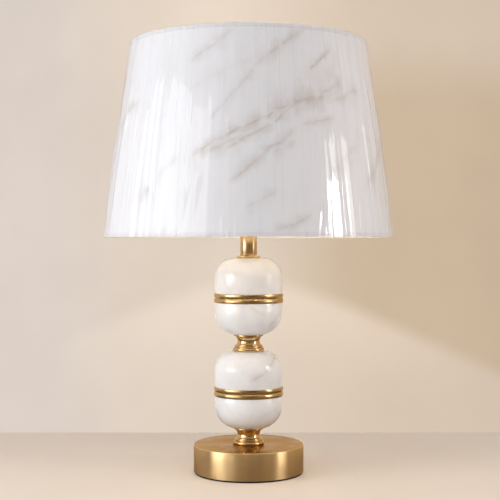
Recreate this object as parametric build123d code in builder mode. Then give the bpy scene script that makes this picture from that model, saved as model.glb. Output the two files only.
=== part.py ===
from build123d import *
from math import cos, degrees, radians, sin, sqrt
import os

# Column table lamp: a brass drum base, two marble beads with brass bands between turned brass
# necks, a brass stem, and a tapered shade on the shade ring of a switched screw lampholder.
# It stands on Z = 0 with its stem along +Z. The front is -Y and the cord inlet faces +Y.
# All sizes are in millimetres.

# Fits
rod_clearance = 0.2  # radial, metal pieces threaded over the rod
stone_clearance = 1.0  # radial, the drilled marble over the rod
thread_gap = 0.05  # radial, a nut or cap on the rod's thread
spigot_gap = 0.2  # a spigot in its recess
hole_gap = 0.1  # radial, a gland or switch bar in its hole
fit_gap = 0.1  # a wire or strip against the sheet that it lies on

# Base
base_radius = 72.0
base_height = 35.0
base_wall = 1.5
base_top_thickness = 2.0
base_edge_chamfer = 0.8
foot_pad_thickness = 2.2
foot_pad_margin = 1.2
bottom_plate_thickness = 1.5
weight_margin = 5.0
weight_thickness = 10.0

# Cord inlet
cord_bore_radius = 3.4
gland_neck_radius = 4.8
gland_flange_radius = 7.0
gland_flange_thickness = 2.4
gland_snap_radius = 5.8
gland_snap_thickness = 1.6
gland_rise = 0.5  # its flange above the bottom plate

# Rod that ties the column together
rod_radius = 5.0
rod_bore_radius = 3.5
rod_tail = 3.0  # below the base nut
nut_across_flats = 17.0
base_nut_thickness = 5.0
stem_nut_thickness = 4.0
washer_radius = 13.0
washer_thickness = 2.0
lock_washer_radius = 9.0
lock_washer_thickness = 2.2
lock_washer_split = 2.5

# Turned necks
neck_height = 21.0
neck_foot_radius = 20.6
neck_foot_height = 4.4
neck_bulge = 1.2
neck_ring_radius = 18.0
neck_ring_height = 2.4
neck_ring_bulge = 0.8
neck_groove = 0.5  # height of the grooves below and above the ring
neck_cove_radius = 17.0  # at the cove's lower end
neck_waist_radius = 14.5
neck_waist_height = 13.2
neck_flare_radius = 19.4
neck_lip_height = 1.2
cove_pull = 0.35  # how far the cove stays near the waist

# Marble beads and their bands
bead_radius = 44.6
bead_bottom_height = 42.5  # below the band
bead_top_height = 46.5  # above the band
bead_top_flat_radius = 21.0
bead_bottom_flat_radius = 15.6
bead_top_shoulder = 25.0  # height of the round at the top of a bead
bead_bottom_shoulder = 31.0
band_height = 12.0
band_rim_width = 7.0
band_web = 3.0
band_proud = 0.8
band_edge_proud = 0.4
gasket_thickness = 1.0
gasket_rim = 2.9  # brass left round a gasket in the stem washer

# Stem above the beads
stem_washer_radius = 15.4
stem_washer_thickness = 2.9
stem_washer_edge = 1.0
stem_radius = 11.0
stem_wall = 1.5
stem_length = 32.0
stem_spigot_height = 2.0
stem_cap_thickness = 2.5
stem_cap_overhang = 1.5

# Bulb's screw cap, which the lampholder is sized round
cap_radius = 13.1
cap_shoulder = 1.6
cap_top = 24.0  # above the bulb's contact pip
cap_wall = 0.4

# Lampholder, radii from the bulb's cap outwards and heights from the lower end
sleeve_gap = 0.5  # radial, round the bulb's cap
sleeve_wall = 0.5
sleeve_end_gap = 2.0  # below the shell's lip
lip_gap = 0.3  # radial, between the sleeve's line and the lip
shell_gap = 2.4  # radial, round the sleeve
shell_wall = 2.9
shell_spigot_wall = 1.6
shell_spigot_length = 4.0
shell_ledge = 3.6  # of the flange beyond the thread
shell_flange_thickness = 3.5
shell_lip_thickness = 2.0
cap_show = 1.6  # of the bulb's cap above the shell
holder_wall = 2.2
holder_ledge = 2.3  # that the core's flange rests on
holder_entry_radius = 11.0
holder_entry_height = 4.0
holder_cone_top = 16.0
holder_cap_height = 30.0
holder_floor = 8.0
rod_short = 1.0  # the rod's end below the holder's floor
core_flange_thickness = 2.0
core_body_gap = 0.7  # radial, in the shell
core_body_height = 8.0
contact_width = 6.0
contact_thickness = 0.6
contact_rise = 2.9
contact_foot = 4.0
contact_reach = 9.0
contact_gap = 0.1  # below the bulb's pip
terminal_margin = 5.0  # from the screws' centres to the cap's inner wall
terminal_head_radius = 2.6
terminal_head_height = 1.8
terminal_shank_radius = 1.5
terminal_shank_length = 6.0
grub_radius = 1.5
grub_length = 4.5

# Push-bar switch
bar_radius = 3.0
bar_travel = 7.0
bar_show = 3.5  # what stands out at the end that is pushed in
bar_block_width = 8.0
bar_block_height = 6.6
bar_block_top_gap = 0.7
bar_stop_gap = 0.2  # left between the block and the cap's wall at each stop
bar_end_chamfer = 0.8
leaf_gap = 0.6  # between the block and each contact leaf
leaf_thickness = 0.5
leaf_width = 5.0
leaf_length = 6.0
leaf_lap = 2.0  # past the terminal screw

# Shade ring
ring_thread_gap = 0.2  # radial
ring_wall = 7.9
ring_height = 8.0
ring_bevel = 1.2
grip_count = 36
grip_radius = 0.7

# Shade
shade_drop = 48.0  # from the fitter down to the shade's lower edge
shade_height = 251.5
shade_bottom_radius = 188.0
shade_top_radius = 153.5
cover_thickness = 0.5
liner_thickness = 0.6
wire_radius = 1.5
hem_thickness = 0.4
hem_outer_height = 5.0
hem_inner_short = 0.4  # how far it stops short of the wire's far side
seam_width = 13.0
seam_thickness = 0.3
seam_glue = 0.3
film_thickness = 0.3
film_gap = 0.2
film_turn_in = 5.0
fitter_bore_gap = 1.35  # radial, over the lampholder's thread
fitter_margin = 2.0  # beyond the shade ring
fitter_thickness = 1.5
arm_radius = 1.8
arm_count = 3
arm_lap = 3.0  # under the fitter's plate
arm_weld = 0.2
arm_wall_gap = 0.8

# Bulb, heights from its contact pip
pip_radius = 4.8
pip_height = 1.2
insulator_height = 4.2
insulator_margin = 1.0  # beyond the pip
bulb_pass_gap = 1.4  # radial, through the shade ring
bulb_housing_shoulder = 38.0
bulb_housing_top = 58.0
bulb_housing_wall = 1.2
bulb_length = 114.0
dome_wall = 1.0
board_thickness = 1.6

# Levels above the floor, from the sizes above
drum_bottom = foot_pad_thickness
drum_top = drum_bottom + base_height
bead_height = bead_bottom_height + band_height + bead_top_height
lower_neck_level = drum_top
lower_bead_level = lower_neck_level + neck_height
middle_neck_level = lower_bead_level + bead_height
upper_bead_level = middle_neck_level + neck_height
stem_washer_level = upper_bead_level + bead_height
stem_level = stem_washer_level + stem_washer_thickness
stem_cap_level = stem_level + stem_length
stem_nut_level = stem_cap_level + stem_cap_thickness
holder_level = stem_nut_level + stem_nut_thickness
shell_level = holder_level + holder_cap_height
core_level = shell_level - shell_spigot_length - core_flange_thickness
core_top = core_level + core_flange_thickness + core_body_height
fitter_level = shell_level + shell_flange_thickness
ring_level = fitter_level + fitter_thickness
pip_level = core_top + contact_rise + contact_thickness + contact_gap
weight_top = drum_top - base_top_thickness
washer_top = weight_top - weight_thickness
lock_washer_top = washer_top - washer_thickness
base_nut_top = lock_washer_top - lock_washer_thickness
rod_bottom = base_nut_top - base_nut_thickness - rod_tail
rod_top = holder_level + holder_floor - rod_short
shade_bottom = fitter_level - shade_drop
shade_top = shade_bottom + shade_height

# Radii that several pieces share
rod_hole = rod_radius + rod_clearance
stone_bore = rod_radius + stone_clearance
thread_bore = rod_radius + thread_gap
gasket_radius = stem_washer_radius - gasket_rim
sleeve_radius = cap_radius + sleeve_gap
shell_lip_radius = sleeve_radius + sleeve_wall + lip_gap
shell_bore_radius = sleeve_radius + sleeve_wall + shell_gap
shell_thread_radius = shell_bore_radius + shell_wall
shell_spigot_radius = shell_bore_radius + shell_spigot_wall
shell_flange_radius = shell_thread_radius + shell_ledge
core_seat_radius = shell_spigot_radius + spigot_gap
holder_cap_radius = core_seat_radius + holder_wall
holder_cavity_radius = core_seat_radius - holder_ledge
ring_bore = shell_thread_radius + ring_thread_gap
ring_outer_radius = ring_bore + ring_wall

os.makedirs("parts", exist_ok=True)


def save(piece, name):
    """Labels a finished piece and writes it as one STEP file."""
    piece.part.label = name
    export_step(piece.part, f"parts/{name}.step")


def shade_radius(level):
    """Outer radius of the shade's cover at a height above the floor."""
    taper = (shade_top_radius - shade_bottom_radius) / shade_height
    return shade_bottom_radius + taper * (level - shade_bottom)


def flat_ring(inner, outer, low, high):
    """A round plate with a hole in it, between two heights."""
    with BuildPart() as ring:
        with BuildSketch(Plane.XY.offset(low)):
            Circle(outer)
            Circle(inner, mode=Mode.SUBTRACT)
        extrude(amount=high - low)
    return ring


def hex_nut(low, thickness):
    """A chamfered hexagon nut on the rod's thread."""
    with BuildPart() as nut:
        with BuildSketch(Plane.XY.offset(low)):
            RegularPolygon(nut_across_flats / 2, 6, major_radius=False)
            Circle(thread_bore, mode=Mode.SUBTRACT)
        extrude(amount=thickness)
        with BuildSketch(Plane.XZ):
            # The triangle that turning the nut's corners down takes off at both ends
            corner = nut_across_flats / 2 / cos(radians(30))
            rounding = corner - nut_across_flats / 2
            for level, way in ((low, 1), (low + thickness, -1)):
                with BuildLine():
                    Polyline(
                        (corner - rounding, level),
                        (corner + rounding, level),
                        (corner + rounding, level + way * rounding),
                        close=True,
                    )
                make_face()
        revolve(axis=Axis.Z, mode=Mode.SUBTRACT)
    return nut


# ---------------------------------------------------------------- base

gland_level = drum_bottom + bottom_plate_thickness + gland_rise + gland_flange_radius

# Spun brass drum, open below
with BuildPart() as base_shell:
    with BuildSketch(Plane.XY.offset(drum_bottom)):
        Circle(base_radius)
    extrude(amount=base_height)
    top_edge = base_shell.faces().sort_by(Axis.Z)[-1].edges()
    chamfer(top_edge, base_edge_chamfer)
    with BuildSketch(Plane.XY.offset(drum_bottom)):
        Circle(base_radius - base_wall)
    extrude(amount=base_height - base_top_thickness, mode=Mode.SUBTRACT)
    with BuildSketch(Plane.XY.offset(drum_bottom)):
        Circle(rod_hole)
    extrude(amount=base_height, mode=Mode.SUBTRACT)
    with BuildSketch(Plane.XZ):
        with Locations((0, gland_level)):
            Circle(gland_neck_radius + hole_gap)
    extrude(amount=-base_radius, mode=Mode.SUBTRACT)
save(base_shell, "base_shell")

save(flat_ring(rod_hole, base_radius - base_wall - weight_margin, washer_top, weight_top), "base_weight")

# Closing plate inside the drum's rim, and the foot pad glued under both
plate_radius = base_radius - base_wall - fit_gap
with BuildPart() as bottom_plate:
    with BuildSketch(Plane.XY.offset(drum_bottom)):
        Circle(plate_radius)
    extrude(amount=bottom_plate_thickness)
save(bottom_plate, "bottom_plate")

with BuildPart() as foot_pad:
    with BuildSketch():
        Circle(base_radius - foot_pad_margin)
    extrude(amount=foot_pad_thickness)
save(foot_pad, "foot_pad")

# Snap-in bush for the cord, shaped to the drum's round wall
gland_inner_end = base_radius - base_wall - gland_snap_thickness
gland_outer_end = base_radius + gland_flange_thickness
gland_plane = Plane(origin=(0, 0, gland_level), x_dir=(1, 0, 0), z_dir=(0, 1, 0))
with BuildPart() as cord_gland:
    with BuildSketch(gland_plane.offset(gland_inner_end)):
        Circle(gland_snap_radius)
    extrude(amount=base_wall / 2 + gland_snap_thickness)
    with BuildSketch(gland_plane.offset(base_radius - base_wall / 2)):
        Circle(gland_flange_radius)
    extrude(amount=base_wall / 2 + gland_flange_thickness)
    fillet(cord_gland.edges().sort_by(Axis.Y)[-1], gland_flange_thickness / 3)
    add(base_shell.part, mode=Mode.SUBTRACT)
    with BuildSketch(gland_plane.offset(gland_inner_end)):
        Circle(cord_bore_radius)
    extrude(amount=gland_outer_end - gland_inner_end, mode=Mode.SUBTRACT)
save(cord_gland, "cord_gland")

# ---------------------------------------------------------------- rod and its fixings

save(flat_ring(rod_bore_radius, rod_radius, rod_bottom, rod_top), "threaded_rod")
save(flat_ring(rod_hole, washer_radius, lock_washer_top, washer_top), "base_washer")

with BuildPart() as base_lock_washer:
    with BuildSketch(Plane.XY.offset(base_nut_top)):
        Circle(lock_washer_radius)
        Circle(rod_hole, mode=Mode.SUBTRACT)
        split_end = (Align.MIN, Align.CENTER)
        Rectangle(lock_washer_radius, lock_washer_split, align=split_end, mode=Mode.SUBTRACT)
    extrude(amount=lock_washer_thickness)
save(base_lock_washer, "base_lock_washer")

save(hex_nut(base_nut_top - base_nut_thickness, base_nut_thickness), "base_nut")
save(hex_nut(stem_nut_level, stem_nut_thickness), "stem_lock_nut")

# ---------------------------------------------------------------- necks


def turned_neck(low, stone_below):
    """A turned brass spool: round foot, ring, cove and flared lip, recessed for its gaskets."""
    top = low + neck_height
    foot_top = low + neck_foot_height
    ring_low = foot_top + neck_groove
    ring_top = ring_low + neck_ring_height
    cove_low = ring_top + neck_groove
    waist_level = low + neck_waist_height
    lip_level = top - neck_lip_height
    foot_edge = neck_foot_radius - neck_bulge
    lower_out = neck_cove_radius - neck_waist_radius
    lower_down = waist_level - cove_low
    upper_out = neck_flare_radius - neck_waist_radius
    upper_up = lip_level - waist_level
    with BuildPart() as neck:
        with BuildSketch(Plane.XZ):
            with BuildLine():
                ThreePointArc(
                    (foot_edge, low),
                    (neck_foot_radius, low + neck_foot_height / 2),
                    (foot_edge, foot_top),
                )
                Polyline((foot_edge, foot_top), (neck_ring_radius, foot_top), (neck_ring_radius, ring_low))
                ThreePointArc(
                    (neck_ring_radius, ring_low),
                    (neck_ring_radius + neck_ring_bulge, ring_low + neck_ring_height / 2),
                    (neck_ring_radius, ring_top),
                )
                Polyline((neck_ring_radius, ring_top), (neck_cove_radius, ring_top), (neck_cove_radius, cove_low))
                ThreePointArc(
                    (neck_cove_radius, cove_low),
                    (neck_waist_radius + cove_pull * lower_out, waist_level - lower_down * (1 - cove_pull)),
                    (neck_waist_radius, waist_level),
                )
                ThreePointArc(
                    (neck_waist_radius, waist_level),
                    (neck_waist_radius + cove_pull * upper_out, waist_level + upper_up * (1 - cove_pull)),
                    (neck_flare_radius, lip_level),
                )
                Polyline(
                    (neck_flare_radius, lip_level),
                    (neck_flare_radius, top),
                    (rod_hole, top),
                    (rod_hole, low),
                    (foot_edge, low),
                )
            make_face()
        revolve(axis=Axis.Z)
        with BuildSketch(Plane.XY.offset(top - gasket_thickness)):
            Circle(gasket_radius)
        extrude(amount=gasket_thickness, mode=Mode.SUBTRACT)
        if stone_below:
            with BuildSketch(Plane.XY.offset(low)):
                Circle(gasket_radius)
            extrude(amount=gasket_thickness, mode=Mode.SUBTRACT)
    return neck


save(turned_neck(lower_neck_level, stone_below=False), "lower_neck")
save(turned_neck(middle_neck_level, stone_below=True), "middle_neck")

# ---------------------------------------------------------------- marble beads

band_inner_radius = bead_radius - band_rim_width
bead_spigot_radius = band_inner_radius - spigot_gap
bead_spigot_height = (band_height - band_web) / 2 - spigot_gap


def bead_piece(low, lower):
    """One part of a marble bead, with a spigot that sits in its band. Lower and upper part differ."""
    shoulder = bead_bottom_shoulder if lower else bead_top_shoulder
    flat_radius = bead_bottom_flat_radius if lower else bead_top_flat_radius
    end = low if lower else low + bead_top_height
    seat = low + bead_bottom_height if lower else low
    way = 1 if lower else -1  # from the flat end towards the band
    with BuildPart() as stone:
        with BuildSketch(Plane.XZ):
            with BuildLine():
                EllipticalCenterArc(
                    (flat_radius, end + way * shoulder),
                    bead_radius - flat_radius,
                    shoulder,
                    start_angle=270 if lower else 0,
                    arc_size=90,
                )
                Polyline(
                    (bead_radius, end + way * shoulder),
                    (bead_radius, seat),
                    (bead_spigot_radius, seat),
                    (bead_spigot_radius, seat + way * bead_spigot_height),
                    (stone_bore, seat + way * bead_spigot_height),
                    (stone_bore, end),
                    (flat_radius, end),
                )
            make_face()
        revolve(axis=Axis.Z)
    return stone


def bead_band(low):
    """The brass band: a rim of two rounded hoops, on a web that centres it on the rod."""
    top = low + band_height
    middle = low + band_height / 2
    crest = bead_radius + band_proud
    edge = bead_radius + band_edge_proud
    with BuildPart() as band:
        with BuildSketch(Plane.XZ):
            with BuildLine():
                ThreePointArc((edge, low), (crest, low + band_height / 4), (bead_radius, middle))
                ThreePointArc((bead_radius, middle), (crest, top - band_height / 4), (edge, top))
                Polyline(
                    (edge, top),
                    (band_inner_radius, top),
                    (band_inner_radius, middle + band_web / 2),
                    (rod_hole, middle + band_web / 2),
                    (rod_hole, middle - band_web / 2),
                    (band_inner_radius, middle - band_web / 2),
                    (band_inner_radius, low),
                    (edge, low),
                )
            make_face()
        revolve(axis=Axis.Z)
    return band


for place, level in (("lower", lower_bead_level), ("upper", upper_bead_level)):
    band_level = level + bead_bottom_height
    save(bead_piece(level, lower=True), f"{place}_bead_bottom")
    save(bead_band(band_level), f"{place}_bead_band")
    save(bead_piece(band_level + band_height, lower=False), f"{place}_bead_top")

# Soft washers between brass and marble, sunk in the brass
gasket_levels = [
    lower_bead_level - gasket_thickness,
    middle_neck_level,
    upper_bead_level - gasket_thickness,
    stem_washer_level,
]
with BuildPart() as bead_gaskets:
    for level in gasket_levels:
        with BuildSketch(Plane.XY.offset(level)):
            Circle(gasket_radius - fit_gap)
            Circle(rod_hole, mode=Mode.SUBTRACT)
        extrude(amount=gasket_thickness)
save(bead_gaskets, "bead_gaskets")

# ---------------------------------------------------------------- stem

stem_bore = stem_radius - stem_wall
stem_spigot_radius = stem_bore - spigot_gap

with BuildPart() as stem_washer:
    with BuildSketch(Plane.XZ):
        with BuildLine():
            ThreePointArc(
                (stem_washer_radius - stem_washer_edge, stem_washer_level),
                (stem_washer_radius, stem_washer_level + stem_washer_thickness / 2),
                (stem_washer_radius - stem_washer_edge, stem_level),
            )
            Polyline(
                (stem_washer_radius - stem_washer_edge, stem_level),
                (stem_spigot_radius, stem_level),
                (stem_spigot_radius, stem_level + stem_spigot_height),
                (rod_hole, stem_level + stem_spigot_height),
                (rod_hole, stem_washer_level + gasket_thickness),
                (gasket_radius, stem_washer_level + gasket_thickness),
                (gasket_radius, stem_washer_level),
                (stem_washer_radius - stem_washer_edge, stem_washer_level),
            )
        make_face()
    revolve(axis=Axis.Z)
save(stem_washer, "stem_washer")

save(flat_ring(stem_bore, stem_radius, stem_level, stem_cap_level), "stem_tube")

with BuildPart() as stem_cap:
    with BuildSketch(Plane.XY.offset(stem_cap_level)):
        Circle(stem_radius + stem_cap_overhang)
    extrude(amount=stem_cap_thickness)
    fillet(stem_cap.edges().group_by(Axis.Z)[-1], stem_cap_thickness / 3)
    with BuildSketch(Plane.XY.offset(stem_cap_level - stem_spigot_height)):
        Circle(stem_spigot_radius)
    extrude(amount=stem_spigot_height)
    with BuildSketch(Plane.XY.offset(stem_cap_level - stem_spigot_height)):
        Circle(rod_hole)
    extrude(amount=stem_spigot_height + stem_cap_thickness, mode=Mode.SUBTRACT)
save(stem_cap, "stem_cap")

# ---------------------------------------------------------------- lampholder

bar_level = core_level - bar_block_top_gap - bar_block_height / 2
terminal_offset = holder_cavity_radius - terminal_margin

# Moulded cap, screwed on the rod, with a hole on each side for the switch bar
with BuildPart() as lampholder_cap:
    with BuildSketch(Plane.XZ):
        with BuildLine():
            Polyline(
                (thread_bore, holder_level),
                (holder_entry_radius, holder_level),
                (holder_entry_radius, holder_level + holder_entry_height),
                (holder_cap_radius, holder_level + holder_cone_top),
                (holder_cap_radius, shell_level),
                (core_seat_radius, shell_level),
                (core_seat_radius, core_level),
                (holder_cavity_radius, core_level),
                (holder_cavity_radius, holder_level + holder_cone_top),
                (holder_entry_radius - holder_wall, holder_level + holder_floor),
                (thread_bore, holder_level + holder_floor),
                close=True,
            )
        make_face()
    revolve(axis=Axis.Z)
    with BuildSketch(Plane.YZ.offset(-holder_cap_radius)):
        with Locations((0, bar_level)):
            Circle(bar_radius + hole_gap)
    extrude(amount=2 * holder_cap_radius, mode=Mode.SUBTRACT)
    with BuildSketch(Plane.XZ):
        with Locations((0, holder_level + holder_entry_height / 2)):
            Circle(grub_radius)
    extrude(amount=-holder_entry_radius, mode=Mode.SUBTRACT)
save(lampholder_cap, "lampholder_cap")

# Grub screw that locks the cap on the rod
with BuildPart() as lampholder_grub_screw:
    with BuildSketch(Plane.XZ.offset(-thread_bore)):
        with Locations((0, holder_level + holder_entry_height / 2)):
            Circle(grub_radius)
    extrude(amount=-grub_length)
save(lampholder_grub_screw, "lampholder_grub_screw")

# Ceramic core that carries the contacts and terminals
with BuildPart() as lampholder_core:
    with BuildSketch(Plane.XY.offset(core_level)):
        Circle(shell_spigot_radius)
    extrude(amount=core_flange_thickness)
    with BuildSketch(Plane.XY.offset(core_level + core_flange_thickness)):
        Circle(shell_bore_radius - core_body_gap)
    extrude(amount=core_body_height)
    with BuildSketch(Plane.XY.offset(core_level)):
        with Locations((0, terminal_offset), (0, -terminal_offset)):
            Circle(terminal_shank_radius)
    extrude(amount=terminal_shank_length, mode=Mode.SUBTRACT)
save(lampholder_core, "lampholder_core")

leaf_start = bar_block_width / 2 + leaf_gap  # from the switch bar's middle
leaf_level = core_level - leaf_thickness
with BuildPart() as terminal_screws:
    for side in (terminal_offset, -terminal_offset):
        with BuildSketch(Plane.XY.offset(leaf_level - terminal_head_height)):
            with Locations((0, side)):
                Circle(terminal_head_radius)
        extrude(amount=terminal_head_height)
        with BuildSketch(Plane.XY.offset(leaf_level)):
            with Locations((0, side)):
                Circle(terminal_shank_radius)
        extrude(amount=leaf_thickness + terminal_shank_length)
save(terminal_screws, "terminal_screws")

# Bent strips that the switch bar's block wipes, one under each terminal screw
with BuildPart() as switch_leaves:
    with BuildSketch(Plane.YZ.offset(-leaf_width / 2)):
        with BuildLine():
            Polyline(
                (leaf_start, core_level),
                (terminal_offset + leaf_lap, core_level),
                (terminal_offset + leaf_lap, leaf_level),
                (leaf_start + leaf_thickness, leaf_level),
                (leaf_start + leaf_thickness, core_level - leaf_length),
                (leaf_start, core_level - leaf_length),
                close=True,
            )
        make_face()
    extrude(amount=leaf_width)
    mirror(about=Plane.XZ)
    with BuildSketch(Plane.XY.offset(leaf_level)):
        with Locations((0, terminal_offset), (0, -terminal_offset)):
            Circle(terminal_shank_radius)
    extrude(amount=leaf_thickness, mode=Mode.SUBTRACT)
save(switch_leaves, "switch_leaves")

# Threaded shell that clamps the core in the cap and carries the shade on its flange
shell_top = pip_level + cap_top - cap_show
with BuildPart() as lampholder_shell:
    with BuildSketch(Plane.XZ):
        with BuildLine():
            Polyline(
                (shell_bore_radius, core_level + core_flange_thickness),
                (shell_spigot_radius, core_level + core_flange_thickness),
                (shell_spigot_radius, shell_level),
                (shell_flange_radius, shell_level),
                (shell_flange_radius, fitter_level),
                (shell_thread_radius, fitter_level),
                (shell_thread_radius, shell_top),
                (shell_lip_radius, shell_top),
                (shell_lip_radius, shell_top - shell_lip_thickness),
                (shell_bore_radius, shell_top - shell_lip_thickness),
                close=True,
            )
        make_face()
    revolve(axis=Axis.Z)
save(lampholder_shell, "lampholder_shell")

sleeve_top = shell_top - shell_lip_thickness - sleeve_end_gap
save(flat_ring(sleeve_radius, sleeve_radius + sleeve_wall, core_top, sleeve_top), "lampholder_sleeve")

# Sprung strip that touches the bulb's pip
with BuildPart() as centre_contact:
    with BuildSketch(Plane.XZ.offset(-contact_width / 2)):
        with BuildLine():
            Polyline(
                (contact_reach, core_top),
                (contact_reach, core_top + contact_thickness),
                (contact_foot, core_top + contact_thickness),
                (contact_foot / 2, core_top + contact_rise + contact_thickness),
                (-contact_foot, core_top + contact_rise + contact_thickness),
                (-contact_foot, core_top + contact_rise),
                (contact_foot / 2 - contact_thickness, core_top + contact_rise),
                (contact_foot - contact_thickness, core_top),
                close=True,
            )
        make_face()
    extrude(amount=contact_width)
save(centre_contact, "centre_contact")

# Push bar across the cap, held at its +X stop while the lamp is on. Its block meets the cap's wall there.
bar_middle = bar_travel / 2
bar_length = 2 * (holder_cap_radius + bar_show) + bar_travel
cavity_at_block = sqrt(holder_cavity_radius**2 - (bar_block_width / 2) ** 2)
bar_block_length = 2 * (cavity_at_block - bar_stop_gap) - bar_travel
with BuildPart() as switch_bar:
    with BuildSketch(Plane.YZ.offset(bar_middle - bar_length / 2)):
        with Locations((0, bar_level)):
            Circle(bar_radius)
    extrude(amount=bar_length)
    chamfer(switch_bar.edges().filter_by(GeomType.CIRCLE), bar_end_chamfer)
    with Locations((bar_middle, 0, bar_level)):
        Box(bar_block_length, bar_block_width, bar_block_height)
save(switch_bar, "switch_bar")

# ---------------------------------------------------------------- shade ring

with BuildPart() as shade_ring:
    with BuildSketch(Plane.XY.offset(ring_level)):
        Circle(ring_outer_radius)
        Circle(ring_bore, mode=Mode.SUBTRACT)
        with PolarLocations(ring_outer_radius, grip_count):
            Circle(grip_radius, mode=Mode.SUBTRACT)
    extrude(amount=ring_height)
    with BuildSketch(Plane.XZ):
        with BuildLine():
            Polyline(
                (ring_outer_radius - ring_bevel, ring_level + ring_height),
                (ring_outer_radius, ring_level + ring_height),
                (ring_outer_radius, ring_level + ring_height - ring_bevel),
                close=True,
            )
        make_face()
    revolve(axis=Axis.Z, mode=Mode.SUBTRACT)
save(shade_ring, "shade_ring")

# ---------------------------------------------------------------- shade

sheet_thickness = cover_thickness + liner_thickness
sheet_bottom = shade_bottom + hem_thickness
sheet_top = shade_top - hem_thickness


def cone_sheet(inset, thickness, low, high, sweep=360):
    """A thin tapered sheet that follows the shade, its outer face inset from the cover's."""
    with BuildPart() as sheet:
        with BuildSketch(Plane.XZ):
            with BuildLine():
                Polyline(
                    (shade_radius(low) - inset, low),
                    (shade_radius(high) - inset, high),
                    (shade_radius(high) - inset - thickness, high),
                    (shade_radius(low) - inset - thickness, low),
                    close=True,
                )
            make_face()
        revolve(axis=Axis.Z, revolution_arc=sweep)
    return sheet


save(cone_sheet(0, cover_thickness, sheet_bottom, sheet_top), "shade_cover")
save(cone_sheet(cover_thickness, liner_thickness, sheet_bottom, sheet_top), "shade_liner")

wire_levels = {"bottom": sheet_bottom + wire_radius, "top": sheet_top - wire_radius}
wire_rings = {}


def wire_ring_radius(level):
    """Radius of the wire ring's centre line, for a ring that lies against the liner at a level."""
    return shade_radius(level) - sheet_thickness - wire_radius - fit_gap


for edge, level in wire_levels.items():
    with BuildPart() as wire_ring:
        with BuildSketch(Plane.XZ):
            with Locations((wire_ring_radius(level), level)):
                Circle(wire_radius)
        revolve(axis=Axis.Z)
    save(wire_ring, f"{edge}_wire_ring")
    wire_rings[edge] = wire_ring


def hem(edge_level, way, wire_level):
    """Tape folded round an edge of the shade and its wire. way is 1 at the lower edge, -1 at the upper."""
    outer_end = edge_level + way * hem_outer_height
    inner_end = edge_level + way * (hem_thickness + 2 * wire_radius - hem_inner_short)
    web = edge_level + way * hem_thickness
    inner_radius = wire_ring_radius(wire_level) - wire_radius - fit_gap
    with BuildPart() as tape:
        with BuildSketch(Plane.XZ):
            with BuildLine():
                Polyline(
                    (shade_radius(edge_level) + hem_thickness, edge_level),
                    (shade_radius(outer_end) + hem_thickness, outer_end),
                    (shade_radius(outer_end), outer_end),
                    (shade_radius(web), web),
                    (inner_radius, web),
                    (inner_radius, inner_end),
                    (inner_radius - hem_thickness, inner_end),
                    (inner_radius - hem_thickness, edge_level),
                    close=True,
                )
            make_face()
        revolve(axis=Axis.Z)
    return tape


save(hem(shade_bottom, 1, wire_levels["bottom"]), "bottom_hem")
save(hem(shade_top, -1, wire_levels["top"]), "top_hem")

# Strip glued inside over the sheet's joint, at the back
seam_angle = degrees(seam_width / shade_bottom_radius)
seam = cone_sheet(
    sheet_thickness + seam_glue,
    seam_thickness,
    wire_levels["bottom"] + 2 * wire_radius + 2 * arm_radius,
    wire_levels["top"] - 2 * wire_radius,
    seam_angle,
)
seam.part = seam.part.rotate(Axis.Z, 90 - seam_angle / 2)
save(seam, "seam_strip")

# Clear film stretched round the shade and turned in over both edges
film_inner = hem_thickness + film_gap
film_outer = film_inner + film_thickness
film_bottom = shade_bottom - film_gap - film_thickness
film_top = shade_top + film_gap + film_thickness
with BuildPart() as clear_film:
    with BuildSketch(Plane.XZ):
        with BuildLine():
            Polyline(
                (shade_radius(film_bottom) + film_outer, film_bottom),
                (shade_radius(film_top) + film_outer, film_top),
                (shade_radius(film_top) - film_turn_in, film_top),
                (shade_radius(film_top) - film_turn_in, film_top - film_thickness),
                (shade_radius(film_top) + film_inner, film_top - film_thickness),
                (shade_radius(film_bottom) + film_inner, film_bottom + film_thickness),
                (shade_radius(film_bottom) - film_turn_in, film_bottom + film_thickness),
                (shade_radius(film_bottom) - film_turn_in, film_bottom),
                close=True,
            )
        make_face()
    revolve(axis=Axis.Z)
save(clear_film, "clear_film")

# Fitter: a pierced plate for the lampholder, on three arms welded to the lower wire ring
fitter_bore_radius = shell_thread_radius + fitter_bore_gap
fitter_radius = ring_outer_radius + fitter_margin
fitter_plate = flat_ring(fitter_bore_radius, fitter_radius, fitter_level, ring_level)
save(fitter_plate, "fitter_ring")

arm_inner_radius = fitter_radius - arm_lap
arm_start_level = wire_levels["bottom"] + wire_radius + arm_radius - arm_weld
arm_start_radius = shade_radius(arm_start_level + arm_radius) - sheet_thickness - arm_wall_gap
arm_end_level = fitter_level - arm_radius + arm_weld
with BuildPart() as fitter_arms:
    for number in range(arm_count):
        turn = radians(90 + number * 360 / arm_count)
        start = Vector(arm_start_radius * cos(turn), arm_start_radius * sin(turn), arm_start_level)
        end = Vector(arm_inner_radius * cos(turn), arm_inner_radius * sin(turn), arm_end_level)
        with BuildSketch(Plane(origin=start, z_dir=end - start)):
            Circle(arm_radius)
        extrude(amount=(end - start).length)
    add(wire_rings["bottom"].part, mode=Mode.SUBTRACT)
    add(fitter_plate.part, mode=Mode.SUBTRACT)
save(fitter_arms, "fitter_arms")

# ---------------------------------------------------------------- bulb

insulator_level = pip_level + pip_height
cap_level = insulator_level + insulator_height
cap_end = pip_level + cap_top
housing_end = pip_level + bulb_housing_top
bulb_top = pip_level + bulb_length
insulator_radius = cap_radius - cap_shoulder
bulb_housing_radius = ring_bore - bulb_pass_gap

with BuildPart() as bulb_pip:
    with BuildSketch(Plane.XY.offset(pip_level)):
        Circle(pip_radius)
    extrude(amount=pip_height)
    fillet(bulb_pip.edges().group_by(Axis.Z)[0], pip_height / 2)
save(bulb_pip, "bulb_pip")

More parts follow.
